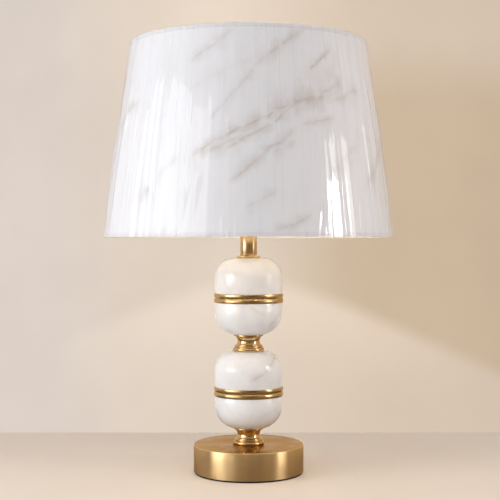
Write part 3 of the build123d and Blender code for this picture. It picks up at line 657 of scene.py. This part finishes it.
cover = turned("shade_face", cone_outline("shade_cover", 0.0, cover_thickness), steps=256, edge=0)
unrolled(cover)
face_print, tree, shader = material("veined_sheet", Roughness=0.62)
place = node(tree, "TexCoord").outputs["UV"]
print_runs = [
    (-0.010, 0.432, 0.42, 0.072, 0.0039, 0.87),
    (0.020, 0.436, 0.56, 0.060, 0.0030, 0.70),
    (-0.042, 0.411, 0.36, 0.040, 0.0051, 0.59),
    (0.062, 0.4655, 0.22, 0.044, 0.0054, 0.87),
    (0.084, 0.4700, 0.12, 0.030, 0.0075, 0.98),
    (0.120, 0.4850, 0.30, 0.026, 0.0072, 0.70),
    (-0.018, 0.4800, 1.05, 0.040, 0.0033, 0.50),
    (0.048, 0.5340, 0.60, 0.044, 0.0033, 0.64),
    (0.107, 0.5200, 0.72, 0.024, 0.0027, 0.87),
    (-0.052, 0.5330, 0.55, 0.036, 0.0039, 0.50),
    (0.020, 0.4050, 0.75, 0.050, 0.0030, 0.70),
    (0.098, 0.4450, 0.26, 0.030, 0.0024, 0.64),
    (0.046, 0.4110, 0.45, 0.018, 0.0030, 0.50),
    (0.054, 0.3230, 0.34, 0.028, 0.0027, 0.59),
    (0.016, 0.3500, 0.60, 0.022, 0.0045, 0.34),
    (-0.144, 0.3610, 0.30, 0.016, 0.0036, 0.59),
    (-0.108, 0.3900, 0.90, 0.020, 0.0033, 0.31),
    (-0.030, 0.5050, 0.40, 0.060, 0.0045, 0.20),
    (0.140, 0.4050, 0.80, 0.040, 0.0042, 0.34),
    (0.150, 0.4780, 0.20, 0.040, 0.0039, 0.48),
    (0.250, 0.420, 0.60, 0.09, 0.0039, 0.70),
    (-0.260, 0.440, 0.45, 0.10, 0.0039, 0.70),
    (-0.330, 0.380, 0.55, 0.08, 0.0033, 0.63),
    (0.380, 0.440, 0.50, 0.12, 0.0042, 0.77),
    (0.450, 0.380, 0.70, 0.07, 0.0030, 0.63),
    (-0.430, 0.450, 0.55, 0.12, 0.0042, 0.77),
    (0.540, 0.400, 0.50, 0.10, 0.0039, 0.70),
    (-0.540, 0.390, 0.60, 0.10, 0.0039, 0.70),
]
dark = veins(tree, place, print_runs, 0.022)
tone = node(tree, "TexNoise", place, Scale=9.0, Detail=4.0, Roughness=0.6).outputs[0]
ground = blend_colours(tree, between(tree, tone, 0.3, 0.7), [c * 0.965 for c in sheet_white], sheet_white)
tree.links.new(blend_colours(tree, dark, ground, print_brown), shader.inputs["Base Color"])
fibres = node(tree, "TexNoise", place, Scale=2400.0, Detail=2.0).outputs[0]
bump = node(tree, "Bump", Strength=0.3, Distance=0.00004, Height=fibres)
tree.links.new(bump.outputs[0], shader.inputs["Normal"])
fit(cover, face_print, "shade", "shade_sheet", "shade_cover")

outline = cone_outline("shade_liner", -cover_thickness, lining_thickness)
liner = turned("shade_lining_sheet", outline, steps=256, edge=0)
lining = plain("lining_sheet", lining_white, [c * 0.97 for c in lining_white], 0.55, 60.0, 0.00002)
fit(liner, lining, "shade", "shade_lining", "shade_liner")

tape = plain("hem_tape", (0.82, 0.82, 0.845), (0.77, 0.77, 0.79), 0.8, 2200.0, 0.00012)
for place, way in (("bottom", 1), ("top", -1)):
    low, high = (corner.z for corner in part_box(f"{place}_hem"))
    edge = low if way == 1 else high
    outer_end = edge + way * tape_outside
    web = edge + way * tape_thickness
    inner_end = edge + way * tape_inside
    inner = cone_radius(edge) - tape_depth
    outline = [
        (cone_radius(edge, tape_thickness), edge),
        (cone_radius(outer_end, tape_thickness), outer_end),
        (cone_radius(outer_end, tape_gap), outer_end),
        (cone_radius(web, tape_gap), web),
        (inner, web),
        (inner, inner_end),
        (inner - tape_thickness, inner_end),
        (inner - tape_thickness, edge),
    ]
    hem = turned(f"{place}_hem_tape", outline, steps=256, edge=0.0001)
    fit(hem, tape, "shade", "hem_tape", f"{place}_hem")
dress(tape, "seam_strip")

# ---------------------------------------------------------------- film
# Clear film stretched round the new shade and turned in over both edges. It has set in long flat
# pleats that fan out downwards, with short puckers along both rims where it was gathered and sealed.

film_steps = 880
film_rows = 50
film_turn_in = 0.005
film_thickness = 0.0001
film_cling = 0.0008
film_bulge = 0.0022
film_edge_lift = 0.0002
rim_rows = [0.0, 0.002, 0.005, 0.009, 0.014, 0.02]  # of the mesh, in from each rim
pleat_back = 1.7  # how much wider a pleat's far side is than its lit side
# The film's colour runs between these two along its folds, as painted light and shade of the pleats.
film_pleat_painted_shade = (0.85, 0.85, 0.88)
film_clear = (0.97, 0.975, 1.0)

# Angle and level of a pleat's upper end and lower end, its lit side's width, and how far that side is
# turned to the right, in degrees and metres
front_pleats = [
    (-60.9, 0.506, -64.9, 0.308, 0.0060, 22),
    (-52.0, 0.490, -56.5, 0.330, 0.0040, 15),
    (-45.1, 0.484, -49.8, 0.308, 0.0115, 8),
    (-42.6, 0.500, -43.6, 0.308, 0.0050, 15),
    (-39.6, 0.510, -40.4, 0.308, 0.0034, -15),
    (-34.8, 0.520, -36.4, 0.308, 0.0052, 16),
    (-30.2, 0.500, -31.6, 0.330, 0.0018, 15),
    (-27.4, 0.460, -27.6, 0.320, 0.0013, -12),
    (-18.8, 0.390, -22.6, 0.308, 0.0050, -9),
    (-14.0, 0.505, -15.0, 0.308, 0.0050, -17),
    (-9.4, 0.334, -9.3, 0.308, 0.0020, -22),
    (-4.5, 0.334, -4.4, 0.308, 0.0018, -27),
    (21.0, 0.425, 21.4, 0.308, 0.0017, 14),
    (22.6, 0.410, 23.0, 0.308, 0.0015, 13),
    (26.7, 0.341, 25.3, 0.310, 0.0040, 10),
    (30.5, 0.440, 29.9, 0.308, 0.0030, 8),
    (36.5, 0.450, 37.5, 0.308, 0.0040, -16),
    (41.0, 0.450, 42.5, 0.308, 0.0100, -5),
    (46.5, 0.360, 45.5, 0.308, 0.0050, -9),
    (54.2, 0.470, 56.0, 0.345, 0.0055, -16),
    (60.4, 0.506, 63.4, 0.400, 0.0050, -21),
    (70.0, 0.500, 73.0, 0.330, 0.0040, -22),
    (-72.0, 0.500, -74.0, 0.320, 0.0040, 22),
]
side_pleats = 62
crinkles = 150
rim_puckers = 130

random.seed(11)
pleats = list(front_pleats)
for number in range(side_pleats):
    at = 78 + 204 * (number + random.uniform(-0.3, 0.3)) / side_pleats
    high = random.uniform(0.43, 0.52)
    low = random.choice([0.308, 0.308, random.uniform(0.32, 0.38)])
    lean = random.choice([-1, 1]) * random.uniform(7, 17)
    pleats.append((at, high, at + random.uniform(-4, 4), low, random.uniform(0.003, 0.009), lean))
for number in range(crinkles):
    at = random.uniform(-180, 180)
    low = random.uniform(0.308, 0.42)
    high = low + random.uniform(0.02, 0.09)
    lean = random.choice([-1, 1]) * random.uniform(4, 12)
    pleats.append((at, high, at + random.uniform(-2, 2), low, random.uniform(0.0015, 0.004), lean))
for number in range(rim_puckers):
    at = random.uniform(-180, 180)
    lean = random.choice([-1, 1]) * random.uniform(8, 24)
    width = random.uniform(0.0016, 0.0034)
    if number % 3:
        pleats.append((at, 0.562, at + random.uniform(-0.6, 0.6), random.uniform(0.532, 0.552), width, lean))
    else:
        pleats.append((at, random.uniform(0.318, 0.334), at + random.uniform(-0.6, 0.6), 0.306, width, lean))

film_low, film_high = (corner.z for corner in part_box("clear_film"))
middle_rows = film_rows - 2 * len(rim_rows) + 1
span = film_high - film_low - 2 * rim_rows[-1]
heights = rim_rows + [rim_rows[-1] + span * row / middle_rows for row in range(1, middle_rows)]
heights += [film_high - film_low - rise for rise in reversed(rim_rows)]
outline = [(cone_radius(film_low, -film_turn_in), film_low + film_edge_lift)]
outline += [(cone_radius(film_low + rise, film_cling), film_low + rise) for rise in heights]
outline += [(cone_radius(film_high, -film_turn_in), film_high - film_edge_lift)]
film = turned("film_wrap", outline, closed=False, steps=film_steps, edge=0)

spots = np.empty(len(film.data.vertices) * 3)
film.data.vertices.foreach_get("co", spots)
spots = spots.reshape(-1, 3)
away = np.hypot(spots[:, 0], spots[:, 1])
angle = np.arctan2(spots[:, 0], -spots[:, 1])
level = spots[:, 2]
share = (level - film_low) / (film_high - film_low)
stand = np.zeros(len(spots))
for high_at, high, low_at, low, width, lean in pleats:
    along = (high - level) / (high - low)
    centre = np.radians(high_at + (low_at - high_at) * along)
    offset = ((angle - centre + math.pi) % math.tau - math.pi) * away * math.copysign(1, lean)
    profile = np.where(offset > 0, 1 - offset / width, 1 + offset / (width * pleat_back)).clip(0, 1)
    end_fade = (1 - along) * 6 if low > film_low + 0.004 else 1.0
    start_fade = along * 5 if high < film_high - 0.004 else 1.0
    fade = np.minimum(start_fade, end_fade).clip(0, 1) * (along >= 0) * (along <= 1.2)
    stand = np.maximum(stand, width * math.tan(math.radians(abs(lean))) * fade * profile)
stand += film_bulge * 4 * share * (1 - share)
outside = away > cone_radius(film_high, -film_turn_in / 2) - shade_taper * (level - film_high)
spots[:, :2] *= (1 + np.where(outside, stand / away, 0))[:, None]
film.data.vertices.foreach_set("co", spots.ravel())
wall = film.modifiers.new("thickness", "SOLIDIFY")
wall.thickness = film_thickness
wall.offset = 0.0

clear_film, tree, shader = material("clear_film", IOR=1.5)
unrolled(film)
place = node(tree, "TexCoord").outputs["UV"]
drawn = node(tree, "Mapping", place, Scale=(110.0, 3.0, 1.0)).outputs[0]
folds = node(tree, "TexNoise", drawn, Scale=1.0, Detail=3.0, Roughness=0.55).outputs[0]
fine = node(tree, "TexNoise", place, Scale=110.0, Detail=3.0).outputs[0]
relief = maths(tree, "ADD", folds, maths(tree, "MULTIPLY", fine, 0.25))
bump = node(tree, "Bump", Strength=0.15, Distance=0.0004, Height=relief)
tree.links.new(bump.outputs[0], shader.inputs["Normal"])
tree.links.new(between(tree, fine, 0.3, 0.7, 0.03, 0.07), shader.inputs["Roughness"])
# Painted light and shade: the film is greyer or clearer in bands along its folds.
pleat_light_and_shade = between(tree, folds, 0.36, 0.64)
tree.links.new(blend_colours(tree, pleat_light_and_shade, film_pleat_painted_shade, film_clear), shader.inputs["Base Color"])
# Milky cover at the creases: whitening of the creased film, together with painted light.
crease_whitening_and_painted_light = between(tree, maths(tree, "ABSOLUTE", maths(tree, "SUBTRACT", folds, 0.5)), 0.03, 0.18, 0.01, 0.08)
glint = node(tree, "Fresnel", IOR=1.5, Normal=bump.outputs[0])
sheen = maths(tree, "MULTIPLY", glint.outputs[0], 1.5)
cover_share = maths(tree, "ADD", crease_whitening_and_painted_light, sheen)
tree.links.new(maths(tree, "DIVIDE", sheen, cover_share), shader.inputs["Metallic"])
outward = maths(tree, "SUBTRACT", 1.0, node(tree, "NewGeometry").outputs["Backfacing"])
tree.links.new(maths(tree, "MULTIPLY", cover_share, outward), shader.inputs["Alpha"])
fit(film, clear_film, "shade", "clear_film", "clear_film")

# ---------------------------------------------------------------- bulb
# An opal bulb in a white housing on a nickel-plated screw cap, lit warm white. The shade hides it
# from the front.

bulb_cap_wall = 0.0004
bulb_thread_depth = 0.0008
bulb_thread_pitch = 0.00363
bulb_cap_shoulder = 0.0016
bulb_housing_shoulder = 0.0398
bulb_wall = 0.0012
bulb_thread_start = 0.004
bulb_thread_plain = 0.006  # of the cap's height, without thread
bulb_neck_flare = 0.0036
bulb_neck_height = 0.008
bulb_dome_wall = 0.001
dome_steps = 32
glow = (1.0, 0.78, 0.52)
glow_strength = 45.0

low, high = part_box("bulb_cap")
root = high.x - bulb_thread_depth
screw_cap = spun(
    [
        (0, low.z),
        (root - bulb_cap_shoulder, low.z),
        (root, low.z + bulb_cap_shoulder),
        (root, high.z),
        (root - bulb_cap_wall, high.z),
        (root - bulb_cap_wall, low.z + bulb_cap_shoulder + bulb_cap_wall),
        (root - bulb_cap_shoulder - bulb_cap_wall, low.z + bulb_cap_wall),
        (0, low.z + bulb_cap_wall),
    ],
    closed=False,
    steps=96,
    edge=0.0001,
)
thread_turns = (high.z - low.z - bulb_thread_plain) / bulb_thread_pitch
thread_low = low.z + bulb_thread_start
add_thread(screw_cap, root - thread_sunk, high.x, thread_low, bulb_thread_pitch, thread_turns)
nickel = plain("nickel_cap", (0.66, 0.65, 0.62), (0.56, 0.55, 0.53), 0.25, 200.0, 0.00002, metallic=1.0)
fit(as_piece("bulb_screw_cap", screw_cap), nickel, "bulb", "bulb_metal", "bulb_cap")
dress(black_moulding, "bulb_insulator")

low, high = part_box("bulb_housing")
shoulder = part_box("bulb_pip")[0].z + bulb_housing_shoulder
neck_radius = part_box("bulb_cap")[1].x
outline = [(neck_radius - bulb_wall, low.z)]
outline += curve(
    (neck_radius + bulb_wall / 2, low.z),
    (neck_radius + bulb_neck_flare, low.z + bulb_neck_height),
    (high.x, shoulder),
)
outline += [(high.x, high.z), (high.x - bulb_wall, high.z), (high.x - bulb_wall, shoulder)]
housing = turned("bulb_white_housing", outline, steps=128)
white_moulding = plain("white_housing", (0.8, 0.8, 0.78), (0.76, 0.76, 0.74), 0.3, 900.0, 0.00002)
fit(housing, white_moulding, "bulb", "bulb_white", "bulb_housing")
led_board = plain("led_board", (0.7, 0.7, 0.68), (0.6, 0.6, 0.58), 0.5, 900.0, 0.00002)
dress(led_board, "bulb_led_board")

low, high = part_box("bulb_dome")
spring = high.z - high.x
inner = high.x - bulb_dome_wall
turns = [math.pi / 2 * step / dome_steps for step in range(dome_steps + 1)]
outline = [(high.x, low.z)]
for radius, order in ((high.x, 1), (inner, -1)):
    arc = [(radius * math.cos(turn), spring + radius * math.sin(turn)) for turn in turns]
    outline += arc[::order]
outline += [(inner, low.z)]
dome = turned("bulb_opal_dome", outline, steps=128, edge=0)
opal, tree, shader = material(
    "opal_dome", Roughness=0.3, Emission_Color=(*glow, 1.0), Emission_Strength=glow_strength
)
tone = cloudy(tree, 60.0)
tree.links.new(blend_colours(tree, tone, (0.88, 0.84, 0.76), (0.92, 0.88, 0.80)), shader.inputs["Base Color"])
fit(dome, opal, "bulb", "bulb_opal", "bulb_dome")

# ---------------------------------------------------------------- table top, wall and light
# Not part of the lamp: a pale table top and wall, three soft lights on the left, a narrower one and
# a small one on the right, and a room that is dark behind the camera. Painted on the wall are the light
# that falls on it from under the shade, painted light over the shade, a painted shadow on its right,
# and painted shade that darkens it towards the right. The table top is painted brighter towards the
# front, and shows a darker colour in reflections as painted shade.

wall_back = 0.30
wall_left = (0.725, 0.64, 0.58)
wall_middle = (0.755, 0.64, 0.53)
wall_right = (0.685, 0.555, 0.44)
wall_painted_shadow_tint = (0.88, 0.84, 0.76)
glow_edge = 0.305
glow_reach = 0.0635
table_colour = (0.775, 0.675, 0.575)
table_mirrored = (0.27, 0.21, 0.15)
table_bounce = (0.70, 0.675, 0.65)
room_colour = (0.41, 0.32, 0.23)
room_dark = (0.085, 0.058, 0.035)
room_ceiling = (1.0, 0.95, 0.88)
ambient_left = (0.60, 0.61, 0.64)
ambient_right = (0.47, 0.42, 0.38)
ambient_front = 1.56


def stage_plane(name, corners, finish):
    """A flat four-cornered sheet for the surroundings."""
    form = bmesh.new()
    form.faces.new([form.verts.new(corner) for corner in corners])
    sheet = as_piece(name, form)
    sheet.data.materials.append(finish)


def seen_from_front(tree, surface, hidden):
    """Shows a surface from its front only, and lets the rays that a mask names through."""
    clear = node(tree, "BsdfTransparent").outputs[0]
    behind = node(tree, "NewGeometry").outputs["Backfacing"]
    away = maths(tree, "MAXIMUM", behind, hidden)
    shown = node(tree, "MixShader", away, surface, clear)
    tree.links.new(shown.outputs[0], tree.nodes["Material Output"].inputs["Surface"])


table_top, tree, shader = material("table_top", Roughness=0.5, IOR=1.15)
tone = cloudy(tree, 3.0)
stone = blend_colours(tree, tone, [c * 0.97 for c in table_colour], table_colour)
rays = node(tree, "LightPath")
seen = blend_colours(tree, rays.outputs["Is Diffuse Ray"], stone, table_bounce)
# Reflections see a darker table: painted shade in what the brass mirrors.
seen = blend_colours(tree, rays.outputs["Is Glossy Ray"], seen, table_mirrored)
tree.links.new(seen, shader.inputs["Base Color"])
tree.links.new(stone, shader.inputs["Emission Color"])
# Painted light: the table is brightened towards the front, for camera rays only.
ahead = node(tree, "SeparateXYZ", node(tree, "TexCoord").outputs["Object"]).outputs["Y"]
lift = between(tree, ahead, 0.25, -0.15, 0.03, 0.17)
lift = maths(tree, "MULTIPLY", lift, rays.outputs["Is Camera Ray"])
tree.links.new(lift, shader.inputs["Emission Strength"])
seen_from_front(tree, shader.outputs[0], 0.0)
stage_plane("table_plane", [(-6, -6, 0), (6, -6, 0), (6, 6, 0), (-6, 6, 0)], table_top)

wall_paint, tree, shader = material("wall_paint")
place = node(tree, "TexCoord").outputs["Object"]
mottle = node(tree, "TexNoise", place, Scale=3.5, Detail=5.0, Roughness=0.55).outputs[0]
mottled = between(tree, mottle, 0.3, 0.7, 0.965, 1.035)
across, _, up = node(tree, "SeparateXYZ", place).outputs
# The wall's paint runs darker and warmer towards the right, as painted shade.
left_half = blend_colours(tree, between(tree, across, -0.36, -0.12), wall_left, wall_middle)
paint = blend_colours(tree, between(tree, across, -0.1, 0.24), left_half, wall_right)
spread = maths(tree, "MULTIPLY", maths(tree, "MULTIPLY", across, across), 0.25)
edge = maths(tree, "SQRT", maths(tree, "ADD", spread, glow_reach**2))
below = maths(tree, "SUBTRACT", maths(tree, "SUBTRACT", glow_edge, edge), up)
lit = between(tree, below, -0.016, 0.024)
# Painted shadow: the wall is darkened on the right beside the shade.
painted_shadow = maths(tree, "MULTIPLY", between(tree, across, 0.0, 0.17), between(tree, up, 0.64, 0.5))
painted_shadow = maths(tree, "MULTIPLY", painted_shadow, maths(tree, "SUBTRACT", 1.0, lit))
tinted = node(tree, "Mix", painted_shadow, None, None, None, None, None, paint, (*wall_painted_shadow_tint, 1), data_type="RGBA")
tinted.blend_type = "MULTIPLY"
width = between(tree, maths(tree, "ABSOLUTE", across), 0.36, 0.16)
glow_share = maths(tree, "MULTIPLY", maths(tree, "MULTIPLY", lit, width), between(tree, below, 0.15, 0.0))
near_middle = between(tree, maths(tree, "ABSOLUTE", across), 0.24, 0.0)
# Painted light: the wall is lighter over the shade.
painted_light_over_shade = maths(tree, "MULTIPLY", between(tree, up, 0.52, 0.66), near_middle)
light = maths(tree, "ADD", mottled, maths(tree, "MULTIPLY", painted_light_over_shade, 0.11))
glow_light = between(tree, across, -0.1, 0.1, 0.09, 0.12)
light = maths(tree, "ADD", light, maths(tree, "MULTIPLY", glow_share, glow_light))
paint = node(tree, "Emission", tinted.outputs[2], light).outputs[0]
rays = node(tree, "LightPath")
direct = maths(tree, "MAXIMUM", rays.outputs["Is Camera Ray"], rays.outputs["Is Glossy Ray"])
direct = maths(tree, "MAXIMUM", direct, rays.outputs["Is Transmission Ray"])
seen_from_front(tree, paint, maths(tree, "SUBTRACT", 1.0, direct))
stage_plane(
    "wall_plane", [(-4, wall_back, 0), (4, wall_back, 0), (4, wall_back, 3), (-4, wall_back, 3)], wall_paint
)


def soft_light(name, azimuth, elevation, distance, width, height, power, colour):
    """An area lamp aimed at the lamp's middle. Azimuth is degrees left of the camera's side."""
    lamp = bpy.data.lights.new(name, "AREA")
    lamp.shape = "RECTANGLE"
    lamp.size, lamp.size_y, lamp.energy, lamp.color = width, height, power, colour
    light = bpy.data.objects.new(name, lamp)
    turn, lift = math.radians(azimuth), math.radians(elevation)
    way = Vector((-math.sin(turn) * math.cos(lift), -math.cos(turn) * math.cos(lift), math.sin(lift)))
    light.location = Vector((0, 0, 0.3)) + way * distance
    light.rotation_euler = way.to_track_quat("Z", "Y").to_euler()
    light.visible_camera = False
    bpy.context.scene.collection.objects.link(light)


soft_light("left_window", 66, 7, 1.3, 0.8, 1.0, 4.1, (0.96, 0.985, 1.0))
soft_light("left_low", 62, 0, 1.24, 0.6, 0.3, 2.6, (1.0, 0.99, 0.97))
soft_light("left_edge", 38, 7, 1.5, 0.4, 1.0, 1.7, (1.0, 0.99, 0.97))
soft_light("right_panel", -73, 6, 1.4, 0.42, 0.75, 2.9, (1.0, 0.955, 0.90))
soft_light("right_spot", -68, 12, 1.3, 0.16, 0.16, 1.5, (1.0, 0.98, 0.96))

world = bpy.data.worlds.new("room")
bpy.context.scene.world = world
world.use_nodes = True
tree = world.node_tree
way = node(tree, "TexCoord").outputs["Generated"]
across, ahead, up = node(tree, "SeparateXYZ", way).outputs
back = maths(tree, "MULTIPLY", ahead, -1.0)
behind_camera = maths(tree, "ADD", maths(tree, "MULTIPLY", across, 0.2), maths(tree, "MULTIPLY", back, 0.98))
room = blend_colours(tree, between(tree, behind_camera, 0.85, 0.995), room_colour, room_dark)
room = blend_colours(tree, between(tree, up, 0.5, 0.95), room, room_ceiling)
ambient = blend_colours(tree, between(tree, across, -0.9, 0.9), ambient_left, ambient_right)
boost = between(tree, back, 0.0, 1.0, 1.0, ambient_front)
ambient = node(tree, "VectorMath", ambient, None, None, boost, operation="SCALE").outputs[0]
mirrored = node(tree, "LightPath").outputs["Is Glossy Ray"]
around = blend_colours(tree, mirrored, ambient, room)
tree.links.new(around, tree.nodes["Background"].inputs["Color"])

camera = bpy.data.cameras.new("camera")
camera.lens = 79.2
camera.sensor_width = 36.0
eye = bpy.data.objects.new("camera", camera)
eye.location = (0.0018, -1.445, 0.2995)
eye.rotation_euler = (math.radians(90 - 0.318), 0, 0)
bpy.context.scene.collection.objects.link(eye)
bpy.context.scene.camera = eye
bpy.context.scene.view_settings.view_transform = "Standard"
